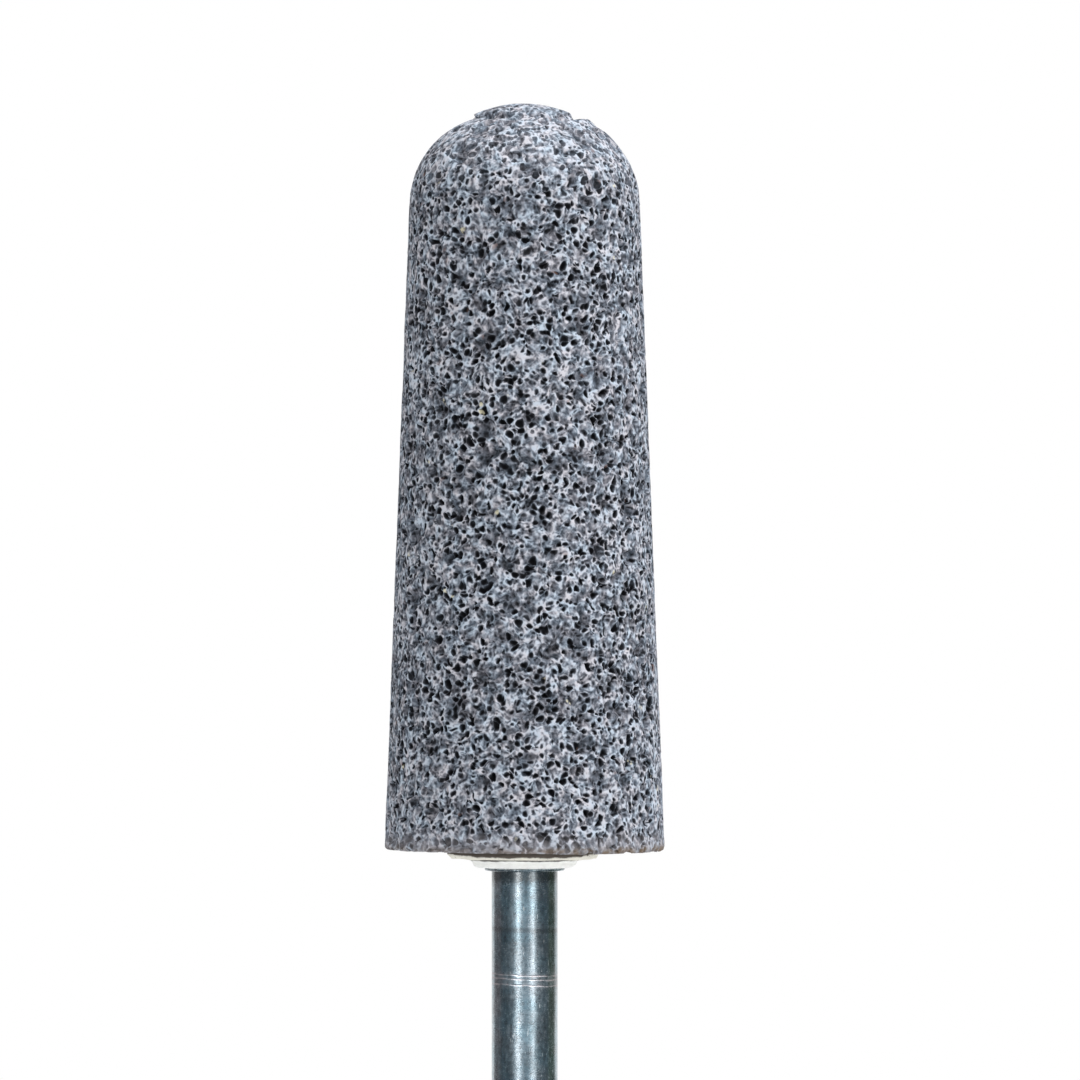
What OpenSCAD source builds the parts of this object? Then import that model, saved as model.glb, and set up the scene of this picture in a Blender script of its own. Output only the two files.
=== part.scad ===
// Mounted point: a tapered, round-nosed abrasive stone cemented on a steel shank.
// Millimetres. The axis is Z, the shank's free end is at the origin and the nose points up.

/* [Stone] */
// Diameter of the taper, carried down to the back face
stone_d = 25.6; // [20:0.2:32]
// Length from the back face to the tip of the crown
stone_length = 68; // [56:0.5:84]
// Half angle of the tapered side, in degrees
stone_taper = 2.2; // [0:0.1:4]
// Radius of the round edge at the back face
back_edge_r = 0.35; // [0.1:0.05:1.5]
// Radius of the round shoulder between the side and the crown
shoulder_r = 8.3; // [5:0.1:9]

/* [Crown] */
// Diameter of the raised crown at the tip
crown_d = 9.4; // [7:0.1:11]
// Radius of the crown's domed top
crown_dome_r = 11; // [8:0.1:20]
// Radius of the round edge of the crown
crown_edge_r = 0.5; // [0.2:0.05:1]
// Height of the crown's tip above the top of the shoulder's arc
crown_rise = 1.05; // [0.8:0.01:1.6]

/* [Shank] */
// Diameter of the shank
shank_d = 6; // [3:0.1:8]
// Length from the free end to the stone's back face
shank_reach = 40; // [25:0.5:60]
// Length cemented into the stone
shank_embed = 28; // [18:0.5:40]
// How much the radius is turned down on the cemented tang
tang_step = 0.3; // [0.1:0.05:0.6]
// Chamfer at both ends of the shank
shank_chamfer = 0.4; // [0.1:0.05:0.8]

/* [Shoulder flange] */
// How far the flange stands out from the shank
flange_overhang = 0.65; // [0.3:0.05:1.2]
// Thickness of the flange, which has a half-round rim
flange_t = 0.28; // [0.2:0.02:0.6]

/* [Scored rings] */
// Distance from the back face to the nearest ring
ring_distance = 11.35; // [6:0.05:18]
// Spacing of the rings
ring_pitch = 0.9; // [0.5:0.05:2]
// Number of rings
ring_count = 2; // [1:1:4]
// Radius of a ring's round section
ring_r = 0.15; // [0.1:0.05:0.2]
// Depth of a ring
ring_depth = 0.06; // [0.02:0.01:0.1]

/* [Keying grooves] */
// Number of grooves round the cemented tang
key_count = 6; // [2:1:7]
// Radius of a groove's round section
key_r = 0.7; // [0.4:0.05:1]
// Depth of a groove
key_depth = 0.35; // [0.1:0.05:0.4]

/* [Cement] */
// Thickness of the cement round the tang, which sets the bore of the stone and the washer
cement_wall = 0.9; // [0.4:0.05:1.5]
// Cement between the tang's end and the socket's conical bottom
cement_end = 1; // [0.2:0.1:4]
// Angle of the socket's conical bottom to its mouth, in degrees
socket_angle = 30; // [10:1:60]
// How far the button under the washer stands out from the flange
button_overhang = 1.25; // [0.75:0.05:2]
// Thickness of the button
button_t = 0.77; // [0.65:0.01:1.6]
// Radius of the button's lower edge
button_edge_r = 0.6; // [0.1:0.05:0.6]

/* [Washer] */
// Outer diameter of the washer
washer_d = 14.3; // [12:0.1:20]
// Thickness of the washer
washer_t = 0.86; // [0.5:0.02:2]
// Chamfer of the washer's lower edge
washer_chamfer = 0.35; // [0.05:0.05:0.6]

/* [Hidden] */
$fn = 96;

// Radii, worked out from the shank to the washer
shank_radius = shank_d / 2;
flange_radius = shank_radius + flange_overhang;
tang_radius = shank_radius - tang_step;
bore_radius = tang_radius + cement_wall;
button_radius = flange_radius + button_overhang;
washer_radius = washer_d / 2;

// Levels, worked out from the stone's back face
back_z = shank_reach;
washer_z = back_z - washer_t;
button_z = washer_z - button_t;
flange_z = button_z - flange_t;
shank_top_z = back_z + shank_embed;
socket_z = shank_top_z + cement_end;
tip_z = back_z + stone_length;
shoulder_top_z = tip_z - crown_rise;

// A circle of radius r that touches the tapered side from inside has its centre here, at height z,
// and touches it at side_point
function taper_radius(z) = stone_d / 2 - (z - back_z) * tan(stone_taper);
function inside_taper(r, z) = [taper_radius(z) - r / cos(stone_taper), z];
function side_point(centre, r) = centre + r * [cos(stone_taper), sin(stone_taper)];

// The shoulder's arc ends on the axis at the latest
shoulder_limit_r = taper_radius(shoulder_top_z) / (1 / cos(stone_taper) - tan(stone_taper));
shoulder_arc_r = min(shoulder_r, shoulder_limit_r);
shoulder_centre = inside_taper(shoulder_arc_r, shoulder_top_z - shoulder_arc_r);
back_edge_centre = inside_taper(back_edge_r, back_z + back_edge_r);

// The crown's edge is a circle that touches the dome from inside and the crown's upright side
crown_radius = crown_d / 2;
dome_centre = [0, tip_z - crown_dome_r];
edge_offset = crown_radius - crown_edge_r;
edge_reach = crown_dome_r - crown_edge_r;
crown_edge_centre = [edge_offset, dome_centre[1] + sqrt(edge_reach ^ 2 - edge_offset ^ 2)];
dome_end = dome_centre + (crown_edge_centre - dome_centre) * crown_dome_r / edge_reach;

// Half section of the tapered body: a straight side between two round edges that it touches
module body_profile() {
    polygon([
        [0, back_z],
        [back_edge_centre[0], back_z],
        back_edge_centre,
        side_point(back_edge_centre, back_edge_r),
        side_point(shoulder_centre, shoulder_arc_r),
        shoulder_centre,
        [shoulder_centre[0], shoulder_top_z],
        [0, shoulder_top_z]
    ]);
    translate(back_edge_centre) circle(back_edge_r);
    intersection() {
        translate(shoulder_centre) circle(shoulder_arc_r);
        translate(shoulder_centre) square(shoulder_arc_r);
    }
}

// Half section of the crown: a dome, its round edge, and the upright side down into the body
module crown_profile() {
    core_z = shoulder_centre[1];
    intersection() {
        translate(dome_centre) circle(crown_dome_r);
        polygon([[0, core_z], crown_edge_centre, dome_end, [dome_end[0], tip_z], [0, tip_z]]);
    }
    translate(crown_edge_centre) circle(crown_edge_r);
    translate([0, core_z]) square([crown_radius, crown_edge_centre[1] - core_z]);
}

// Half section of the stone's socket: a straight bore with a conical bottom
module socket_profile() {
    polygon([
        [0, back_z],
        [bore_radius, back_z],
        [bore_radius, socket_z],
        [0, socket_z + bore_radius * tan(socket_angle)]
    ]);
}

// Half section of the cement under the stone: the neck through the washer and the round-edged button
module button_profile() {
    translate([0, washer_z]) square([bore_radius, washer_t]);
    translate([0, button_z]) square([button_radius - button_edge_r, button_t]);
    translate([0, button_z + button_edge_r]) square([button_radius, button_t - button_edge_r]);
    translate([button_radius - button_edge_r, button_z + button_edge_r]) intersection() {
        circle(button_edge_r);
        translate([0, -button_edge_r]) square(button_edge_r);
    }
}

// Round cut of radius r and the given depth in a side of the given radius, at height z
module groove_cut(side_radius, r, depth, z) {
    translate([side_radius + r - depth, z]) circle(r);
}

// Half section of the shank: a chamfered pin with scored rings, its flange, and the grooved tang
module shank_profile() {
    difference() {
        union() {
            polygon([
                [0, 0],
                [shank_radius - shank_chamfer, 0],
                [shank_radius, shank_chamfer],
                [shank_radius, button_z],
                [tang_radius, button_z],
                [tang_radius, shank_top_z - shank_chamfer],
                [tang_radius - shank_chamfer, shank_top_z],
                [0, shank_top_z]
            ]);
            translate([0, flange_z]) square([flange_radius - flange_t / 2, flange_t]);
            translate([flange_radius - flange_t / 2, flange_z + flange_t / 2]) circle(flange_t / 2);
        }
        for (i = [0:ring_count - 1])
            groove_cut(shank_radius, ring_r, ring_depth, back_z - ring_distance - i * ring_pitch);
        for (i = [1:key_count])
            groove_cut(tang_radius, key_r, key_depth, back_z + shank_embed * i / (key_count + 1));
    }
}

// The fired head, moulded in one piece with its crown and its blind socket
module abrasive_stone() {
    color("#7e848d") rotate_extrude() difference() {
        union() {
            body_profile();
            crown_profile();
        }
        socket_profile();
    }
}

// The thin disc against the stone's back face, chamfered below
module backing_washer() {
    color("#cdc8b8") rotate_extrude() polygon([
        [bore_radius, washer_z],
        [washer_radius - washer_chamfer, washer_z],
        [washer_radius, washer_z + washer_chamfer],
        [washer_radius, back_z],
        [bore_radius, back_z]
    ]);
}

// The cement: it fills the socket round the shank and its grooves, and ends in the button
module cement_bond() {
    color("#e3e5df") rotate_extrude() difference() {
        union() {
            socket_profile();
            button_profile();
        }
        shank_profile();
    }
}

// The steel pin, turned in one piece
module shank() {
    color("#aab4bb") rotate_extrude() shank_profile();
}

abrasive_stone();
backing_washer();
cement_bond();
shank();
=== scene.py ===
"""Looks of a mounted point: a porous, tapered abrasive stone cemented on a steel shank."""

import math
from typing import NamedTuple

import bpy
import numpy as np
from bpy.props import FloatProperty, FloatVectorProperty, IntProperty, PointerProperty
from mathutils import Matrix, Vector


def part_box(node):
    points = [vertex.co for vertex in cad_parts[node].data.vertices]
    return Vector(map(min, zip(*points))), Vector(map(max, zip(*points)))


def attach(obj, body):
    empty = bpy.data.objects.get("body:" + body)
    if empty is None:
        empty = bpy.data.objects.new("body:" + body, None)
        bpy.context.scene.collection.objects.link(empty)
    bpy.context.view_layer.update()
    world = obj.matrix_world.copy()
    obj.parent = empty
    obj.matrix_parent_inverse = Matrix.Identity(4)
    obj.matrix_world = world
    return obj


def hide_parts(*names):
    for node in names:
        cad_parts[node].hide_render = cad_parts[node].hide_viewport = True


bl_info = {
    "name": "Mounted Point",
    "version": (1, 0, 0),
    "blender": (4, 5, 0),
    "location": "View3D > Sidebar > Mounted Point",
    "description": "Looks of a mounted point: porous stone, fibre washer, cement and steel shank",
    "category": "Add Mesh",
}

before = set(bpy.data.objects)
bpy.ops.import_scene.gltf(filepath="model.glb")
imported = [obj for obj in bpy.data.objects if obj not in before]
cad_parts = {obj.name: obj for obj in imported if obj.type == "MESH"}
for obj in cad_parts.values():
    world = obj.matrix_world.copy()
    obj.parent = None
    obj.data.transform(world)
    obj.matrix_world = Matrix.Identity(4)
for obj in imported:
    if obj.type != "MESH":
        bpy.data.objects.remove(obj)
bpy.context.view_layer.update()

MM = 0.001
# Smallest radius in mm that is divided by
TINY = 1e-6
WHITE = (1.0, 1.0, 1.0)


def mm(*lengths):
    """Lengths in metres as a list of millimetres."""
    return [v / MM for v in lengths]


def level(node, top):
    """Height of a node's lowest or highest point, in metres."""
    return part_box(node)[1 if top else 0][2]


def reach(node):
    """Largest radius of a node round the axis, in metres."""
    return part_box(node)[1][0]


# Settings

def setting(kind, **fixed):
    """Maker of a kind of setting, which then takes a name, a description and a default."""
    return lambda name, text, default: kind(name=name, description=text, default=default, **fixed)


length = setting(FloatProperty, unit="LENGTH", precision=5)
angle = setting(FloatProperty, subtype="ANGLE")
focal_length = setting(FloatProperty, unit="CAMERA")
watts = setting(FloatProperty, unit="POWER")
fraction = setting(FloatProperty, min=0.0, max=1.0, subtype="FACTOR")
tint = setting(FloatVectorProperty, size=3, min=0.0, max=1.0, subtype="COLOR")
whole = setting(IntProperty, min=1, max=199000)


class StoneSettings(bpy.types.PropertyGroup):
    """Sizes and colours of the abrasive stone."""

    back_z: length("Back face", "Height of the back face", level("abrasive_stone", False))
    tip_z: length("Tip", "Height of the crown's tip", level("abrasive_stone", True))
    diameter: length("Diameter", "Diameter of the taper, carried down to the back face", 25.6 * MM)
    taper: angle("Taper", "Half angle of the tapered side", math.radians(2.2))
    back_edge_r: length("Back edge", "Radius of the round edge at the back face", 0.35 * MM)
    shoulder_r: length("Shoulder", "Radius of the round shoulder below the crown", 8.3 * MM)
    crown_d: length("Crown diameter", "Diameter of the raised crown", 9.4 * MM)
    crown_dome_r: length("Crown dome", "Radius of the crown's domed top", 11.0 * MM)
    crown_edge_r: length("Crown edge", "Radius of the crown's round edge", 0.5 * MM)
    crown_rise: length("Crown rise", "Height of the tip above the shoulder's top", 1.05 * MM)
    bore_r: length("Bore", "Radius of the socket", 3.6 * MM)
    socket_z: length("Socket depth", "Height where the socket's straight bore ends", 69.0 * MM)
    socket_angle: angle("Socket bottom", "Angle of the socket's conical bottom", math.radians(30.0))
    skin_step: length("Skin step", "Spacing of the surface grid before it is thinned", 0.095 * MM)
    triangles: whole("Triangles", "Most triangles left after thinning", 192000)
    bond: tint("Bond", "Pale vitreous web between the pores", (0.465, 0.50, 0.56))
    grit: tint("Grit", "Blue-grey body of the stone", (0.123, 0.137, 0.165))
    # Painted shade: near black painted into the bottoms of the open pores, where shade falls.
    hollow: tint("Hollow", "Bottom of the open pores", (0.002, 0.002, 0.003))
    scorch: tint("Scorch", "Brown skin on the lower rim", (0.16, 0.115, 0.075))


class CollarSettings(bpy.types.PropertyGroup):
    """Sizes and colours of the washer and the cement."""

    washer_r: length("Washer radius", "Outer radius of the washer", reach("backing_washer"))
    washer_chamfer: length("Washer chamfer", "Chamfer of the washer's lower edge", 0.35 * MM)
    washer_z: length("Washer underside", "Height of its underside", level("backing_washer", False))
    button_r: length("Button radius", "Outer radius of the cement button", reach("cement_bond"))
    button_edge_r: length("Button edge", "Radius of the button's lower edge", 0.6 * MM)
    button_z: length("Button underside", "Height of its underside", level("cement_bond", False))
    fibre: tint("Fibre", "Cream of the washer", (0.74, 0.72, 0.64))
    # Painted shadow on a resinous brown: the near-black band just under the stone's rim.
    resin: tint("Resin", "Brown that soaked into the washer's upper edge", (0.035, 0.022, 0.015))
    cement: tint("Cement", "White of the cement", (0.86, 0.87, 0.85))


class ShankSettings(bpy.types.PropertyGroup):
    """Sizes and colours of the steel shank."""

    radius: length("Radius", "Radius of the shank", 3.0 * MM)
    chamfer: length("Chamfer", "Chamfer at both ends", 0.4 * MM)
    flange_r: length("Flange radius", "Outer radius of the flange", reach("shank"))
    flange_t: length("Flange thickness", "Thickness of the flange", 0.28 * MM)
    tang_r: length("Tang radius", "Radius of the cemented tang", 2.7 * MM)
    top_z: length("Tang end", "Height of the tang's end", level("shank", True))
    embed: length("Embedded length", "Length of the tang inside the stone", 28.0 * MM)
    key_count: whole("Key grooves", "Number of grooves round the tang", 6)
    key_r: length("Key groove radius", "Radius of a groove's round section", 0.7 * MM)
    key_depth: length("Key groove depth", "Depth of a groove", 0.35 * MM)
    ring_distance: length("Ring distance", "Distance from the back face to the upper ring", 11.35 * MM)
    ring_pitch: length("Ring pitch", "Spacing of the scored rings", 0.9 * MM)
    ring_r: length("Ring radius", "Radius of a ring's round section", 0.15 * MM)
    ring_depth: length("Ring depth", "Depth of a ring", 0.014 * MM)
    steel: tint("Steel", "Colour of the bright steel", (0.60, 0.66, 0.70))


class StageSettings(bpy.types.PropertyGroup):
    """Camera, lights and floor."""

    distance: length("Camera distance", "Distance of the camera from the axis", 0.82)
    height: length("Camera height", "Height of the level camera", 68.2 * MM)
    offset: length("Camera offset", "Distance of the camera to the right of the axis", 1.40 * MM)
    focal: focal_length("Focal length", "Lens of the camera, in mm", 300.0)
    key_power: watts("Key light", "Power of the key light", 6.0)
    fill_power: watts("Fill light", "Power of the fill light", 2.1)
    top_power: watts("Top light", "Power of the overhead light", 6.0)
    left_power: watts("Left strip", "Power of the left strip light", 2.9)
    right_power: watts("Right strip", "Power of the right strip light", 2.4)
    world: fraction("World light", "Strength of the even light all round", 0.42)
    floor: tint("Floor", "Colour of the floor", (0.82, 0.82, 0.82))
    card: tint("Cards", "Colour of the dark cards that the steel reflects", (0.085, 0.115, 0.135))


# Cell and lattice noise

# First value of the lookup hash, and the largest 32 bit word
HASH_START = 0xDEADBEEF
LAST_WORD = 0xFFFFFFFF
# Offsets that keep the three noises of a drift apart
DRIFT_SHIFTS = (11.3, 47.9, 83.1)


def turned(x, k):
    """Bits of x turned left by k places."""
    return (x << np.uint32(k)) | (x >> np.uint32(32 - k))


def settled(a, b, c):
    """Last stage of the hash: seven rounds of exclusive or and subtraction of turned bits."""
    v = [a, b, c]
    rounds = ((2, 1, 14), (0, 2, 11), (1, 0, 25), (2, 1, 16), (0, 2, 4), (1, 0, 14), (2, 1, 24))
    for p, q, k in rounds:
        v[p] = (v[p] ^ v[q]) - turned(v[q], k)
    return v[2]


def stirred(a, b, c):
    """Middle stage of the hash: six rounds that mix three words."""
    v = [a, b, c]
    rounds = ((0, 2, 1, 4), (1, 0, 2, 6), (2, 1, 0, 8), (0, 2, 1, 16), (1, 0, 2, 19), (2, 1, 0, 4))
    for p, q, r, k in rounds:
        v[p] = (v[p] - v[q]) ^ turned(v[q], k)
        v[q] = v[q] + v[r]
    return v


def words(cell, count):
    """Coordinates of cells as 32 bit words, offset for a hash of that many words."""
    start = np.uint32((HASH_START + (count << 2) + 13) & LAST_WORD)
    bits = np.ascontiguousarray(cell.T, dtype=np.float32).view(np.uint32)
    return [w + start for w in bits]


def cell_value(cell):
    """One random number from 0 to 1 for each whole-number cell."""
    return settled(*words(cell, 3)).astype(np.float64) / LAST_WORD


def cell_colour(cell):
    """Three random numbers from 0 to 1 for each cell, as the Voronoi texture node has them."""
    a, b, c = stirred(*words(cell, 4))
    rest = [settled(a + np.float32(w).view(np.uint32), b, c).astype(np.float64) / LAST_WORD
            for w in (1.0, 2.0)]
    return np.stack([cell_value(cell), *rest], axis=1)


def lattice(steps):
    """Every point of a cubic lattice with these steps along each axis."""
    return np.stack(np.meshgrid(steps, steps, steps, indexing="ij"), axis=-1).reshape(-1, 3)


NEIGHBOURS = lattice([-1, 0, 1])
CORNERS = lattice([0, 1])


def nearest_grain(p):
    """For each point, the way to the nearest of one random point per cell, and that cell's colour.

    The random points are the Voronoi texture node's, so the material finds the same pores."""
    base = np.floor(p)
    best = np.full(len(p), np.inf)
    way = np.zeros_like(p)
    colour = np.zeros_like(p)
    for step in NEIGHBOURS:
        cell = base + step
        shade = cell_colour(cell)
        to_point = cell + shade - p
        gap = np.einsum("ij,ij->i", to_point, to_point)
        near = gap < best
        best[near] = gap[near]
        way[near] = to_point[near]
        colour[near] = shade[near]
    return way, colour


def lattice_noise(p):
    """Smooth noise from -1 to 1: random values at whole-number corners, blended by smoothstep."""
    base = np.floor(p)
    f = p - base
    f = f * f * (3.0 - 2.0 * f)
    total = np.zeros(len(p))
    for corner in CORNERS:
        weight = np.prod(np.where(corner == 1, f, 1.0 - f), axis=1)
        total += weight * cell_value(base + corner)
    return 2.0 * total - 1.0


def drift(p, size, amount):
    """Points moved along each axis by a lattice noise of that size, at most by amount."""
    moves = [lattice_noise(p / size + shift) for shift in DRIFT_SHIFTS]
    return p + amount * np.stack(moves, axis=1)


def waves(p, parts):
    """Sum of lattice noises, each from 0 to twice its amount: parts are (amount, size, shift)."""
    return sum(amount * (1.0 + lattice_noise(p / size + shift)) for amount, size, shift in parts)


def bell(x, centre, width):
    """Bell curve: e to the power of minus the square of the distance from the centre in widths."""
    return np.exp(-((x - centre) / width) ** 2)


def rising(x, start, width):
    """Straight rise from 0 at the start to 1 a width further on, held at both ends."""
    return np.clip((x - start) / width, 0.0, 1.0)


# Profiles and lathe surfaces, in millimetres

def run(a, b, step):
    """Points from a up to, but not with, b, evenly spaced by about step."""
    count = max(1, int(round(math.dist(a, b) / step)))
    t = np.arange(count)[:, None] / count
    return np.asarray(a, float) * (1.0 - t) + np.asarray(b, float) * t


def path(corners, steps):
    """Straight runs from corner to corner, each with its own step."""
    return np.concatenate([run(*leg) for leg in zip(corners[:-1], corners[1:], steps)])


def firm(a, b, step, hold=0.03):
    """A run with a row close to each end, so that smooth shading stays at its edges."""
    a, b = np.asarray(a, float), np.asarray(b, float)
    t = hold / math.dist(a, b)
    first, last = a + (b - a) * t, b + (a - b) * t
    return np.concatenate([a[None], run(first, last, step), last[None]])


def arc(centre, radius, start, end, step):
    """Points on a circle from the start angle up to, but not with, the end angle, in degrees."""
    count = max(2, int(round(radius * math.radians(abs(end - start)) / step)))
    a = np.radians(start + (end - start) * np.arange(count) / count)
    return np.asarray(centre, float) + radius * np.stack([np.cos(a), np.sin(a)], axis=1)


def chord(side_r, radius, depth, z, step):
    """Round groove in a side of radius side_r: the part of a circle sunk by depth at height z."""
    half = math.degrees(math.acos((radius - depth) / radius))
    return arc((side_r + radius - depth, z), radius, 180.0 + half, 180.0 - half, step)


def outward(profile):
    """Unit normals of a profile in the (radius, height) plane, to the right of its run."""
    along = np.gradient(profile, axis=0)
    along /= np.linalg.norm(along, axis=1, keepdims=True)
    return np.stack([along[:, 1], -along[:, 0]], axis=1)


def carried_round(rz, theta):
    """Each (radius, height) row carried round the axis: (r cos t, r sin t, z) for every angle t."""
    x = rz[:, :1] * np.cos(theta)
    y = rz[:, :1] * np.sin(theta)
    z = np.broadcast_to(rz[:, 1:], x.shape)
    return np.stack([x, y, z], axis=-1)


def lathe_faces(rows, columns, closed):
    """Quads of a grid that wraps round its columns, and its rows too where closed."""
    i = np.arange(rows if closed else rows - 1)[:, None]
    j = np.arange(columns)[None, :]
    up = (i + 1) % rows
    beside = (j + 1) % columns
    quads = [i * columns + j, i * columns + beside, up * columns + beside, up * columns + j]
    return np.stack(np.broadcast_arrays(*quads), axis=-1).reshape(-1, 4)


def pole_faces(ring_start, columns, pole, upper):
    """Triangles that close a ring of the grid on one point of the axis."""
    j = ring_start + np.arange(columns)
    beside = ring_start + (np.arange(columns) + 1) % columns
    order = [j, beside] if upper else [beside, j]
    return np.stack([*order, np.full(columns, pole)], axis=1)


def put_mesh(name, points, quads, triangles):
    """New mesh object from points in mm, quads and triangles."""
    mesh = bpy.data.meshes.new(name)
    corners = np.concatenate([quads.ravel(), triangles.ravel()])
    sizes = np.concatenate([np.full(len(quads), 4), np.full(len(triangles), 3)])
    starts = np.concatenate([[0], np.cumsum(sizes)[:-1]])
    mesh.vertices.add(len(points))
    mesh.vertices.foreach_set("co", (points * MM).astype(np.float32).ravel())
    mesh.loops.add(len(corners))
    mesh.loops.foreach_set("vertex_index", corners.astype(np.int32))
    mesh.polygons.add(len(sizes))
    mesh.polygons.foreach_set("loop_start", starts.astype(np.int32))
    mesh.update(calc_edges=True)
    if mesh.validate():
        raise RuntimeError(f"{name}: the surface has broken faces")
    piece = bpy.data.objects.new(name, mesh)
    bpy.context.scene.collection.objects.link(piece)
    return piece


def lathe_piece(name, grid, bottom=None, top=None):
    """Mesh object from a grid round the axis, closed on itself or by a point at each end."""
    rows, columns = grid.shape[:2]
    points = grid.reshape(-1, 3)
    closed = bottom is None
    quads = lathe_faces(rows, columns, closed)
    triangles = np.zeros((0, 3), int)
    if not closed:
        ends = np.array([[0.0, 0.0, bottom], [0.0, 0.0, top]])
        triangles = np.concatenate([
            pole_faces(0, columns, len(points), False),
            pole_faces((rows - 1) * columns, columns, len(points) + 1, True),
        ])
        points = np.concatenate([points, ends])
    return put_mesh(name, points, quads, triangles)


def angles(count):
    """Angles of the given number of columns round the axis."""
    return 2.0 * math.pi * np.arange(count) / count


def hand_over(piece, node, material):
    """The piece stands for its CAD node, which is hidden, hangs under the root body and gets its
    material.
    """
    piece.data.materials.clear()
    piece.data.materials.append(material)
    piece.data.shade_smooth()
    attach(piece, "root")
    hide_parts(node)


# Pores of the stone

class Layer(NamedTuple):
    """Round pores in random cells, with radii counted in cells."""

    cell: float  # Size of a cell in mm
    shift: float  # Offset of the cells
    low: float  # Smallest radius
    high: float  # Largest radius
    share: float  # Share of the cells that are open
    sunk: float  # Share of the depth that is in the mesh
    # Painted shade: the dark stops darken the colour down into each pore, where shade falls.
    dark: tuple  # Brightness, as (mm from a pore's edge, level) stops
    # The pale stops brighten each pore's edge: pale bond, and partly painted highlight on the pore's lip.
    pale: tuple  # Pale rim, as such stops


PORES = Layer(
    cell=0.66, shift=5.0, low=0.20, high=0.48, share=0.74, sunk=1.0,
    dark=((-0.18, 0.0), (-0.08, 0.07), (0.0, 0.40), (0.09, 1.0)),
    pale=((0.0, 0.0), (0.08, 0.29), (0.15, 0.29), (0.34, 0.0)),
)
HOLLOWS = Layer(
    cell=0.80, shift=23.0, low=0.30, high=0.60, share=0.70, sunk=0.45,
    dark=((-0.38, 0.50), (-0.14, 0.68), (0.19, 1.0)),
    pale=((0.0, 0.0), (0.12, 0.09), (0.18, 0.09), (0.34, 0.0)),
)
FINE_PORES = Layer(
    cell=0.42, shift=63.0, low=0.18, high=0.46, share=0.55, sunk=0.0,
    dark=((-0.14, 0.34), (-0.04, 0.64), (0.08, 1.0)),
    pale=((0.0, 0.0), (0.06, 0.12), (0.11, 0.12), (0.22, 0.0)),
)
PITS = Layer(
    cell=2.10, shift=31.0, low=0.24, high=0.42, share=0.50, sunk=0.5,
    dark=((-0.50, 0.56), (0.0, 0.80), (0.30, 1.0)),
    pale=(),
)
LAYERS = (PORES, HOLLOWS, FINE_PORES, PITS)

# Noises that make the pores ragged (size, amount) and the skin uneven (amount, size, shift), in mm
DRIFTS = ((1.3, 0.28), (0.45, 0.20), (0.24, 0.07))
SWELL = ((0.025, 2.6, 3.3), (0.02, 0.8, 9.1))
# Deepest pore, shift of the crown, and radii of the worn rim, crown and trough, in mm
DEEPEST, CROWN_SHIFT = 0.55, 0.15
RIM_R, CROWN_R, TROUGH_R = 11.9, 4.65, 4.72
# Width of the back face under the collar, and where the stone closes on the axis, in mm
COVERED = 3.3
SOCKET_POLE, TIP_POLE, TIP_SINK = 0.6, 0.12, 0.06
QUICK_STEP, QUICK_SHARE, BATCH = 2.2, 4, 4000


def pore_depth(normal, grain, layer):
    """Depth of round hollows below the skin: h + sqrt(R^2 - d^2 + h^2).

    d is the distance to a hollow's centre, R its radius and h the centre's depth below the skin."""
    way, colour = nearest_grain(grain / layer.cell + layer.shift)
    radius = layer.low + (layer.high - layer.low) * colour[:, 1]
    radius = np.where(colour[:, 0] < layer.share, radius, 0.0)
    sunk = -np.einsum("ij,ij->i", way, normal)
    room = radius ** 2 - np.einsum("ij,ij->i", way, way)
    depth = sunk + np.sqrt(np.maximum(room + sunk ** 2, 0.0))
    return np.where(room > 0.0, depth, 0.0) * layer.cell


def grain_space(skin):
    """Skin points moved by smooth noises, one after the other."""
    for size, amount in DRIFTS:
        skin = drift(skin, size, amount)
    return skin


def stone_profile(s, step):
    """Half section of the stone from the socket's tip to the crown's, and where it is open skin."""
    back, tip, radius, bore, socket = mm(s.back_z, s.tip_z, s.diameter / 2, s.bore_r, s.socket_z)
    edge_r, shoulder_r, crown_r = mm(s.back_edge_r, s.shoulder_r, s.crown_d / 2)
    dome_r, crown_edge_r, crown_rise = mm(s.crown_dome_r, s.crown_edge_r, s.crown_rise)
    lean = math.degrees(s.taper)
    socket_tip = socket + bore * math.tan(s.socket_angle)

    def inside(r, z):
        """Centre, at height z, of a circle of radius r that touches the tapered side from inside."""
        return radius - (z - back) * math.tan(s.taper) - r / math.cos(s.taper), z

    edge = inside(edge_r, back + edge_r)
    shoulder = inside(shoulder_r, tip - crown_rise - shoulder_r)
    dome_z = tip - dome_r
    edge_x = crown_r - crown_edge_r
    crown_edge = (edge_x, dome_z + math.sqrt((dome_r - crown_edge_r) ** 2 - edge_x ** 2))
    dome_end = math.degrees(math.atan2(crown_edge[1] - dome_z, edge_x))
    foot = math.degrees(math.acos((crown_r - shoulder[0]) / shoulder_r))
    foot_z = shoulder[1] + shoulder_r * math.sin(math.radians(foot))
    side = [(c[0] + r * math.cos(s.taper), c[1] + r * math.sin(s.taper))
            for c, r in ((edge, edge_r), (shoulder, shoulder_r))]
    pole = (SOCKET_POLE, socket_tip - SOCKET_POLE * math.tan(s.socket_angle))
    covered = (bore + COVERED, back)
    hidden = path([pole, (bore, socket), (bore, back), covered], [1.0, 2.0, 0.5])
    skin = np.concatenate([
        run(covered, (edge[0], back), step),
        arc(edge, edge_r, -90.0, lean, step),
        run(*side, step),
        arc(shoulder, shoulder_r, lean, foot, step),
        run((crown_r, foot_z), (crown_r, crown_edge[1]), step),
        arc(crown_edge, crown_edge_r, 0.0, dome_end, step),
        arc((0.0, dome_z), dome_r, dome_end, 90.0 - math.degrees(TIP_POLE / dome_r), step),
    ])
    is_skin = np.repeat([False, True], [len(hidden), len(skin)])
    return np.concatenate([hidden, skin]), is_skin, socket_tip


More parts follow.
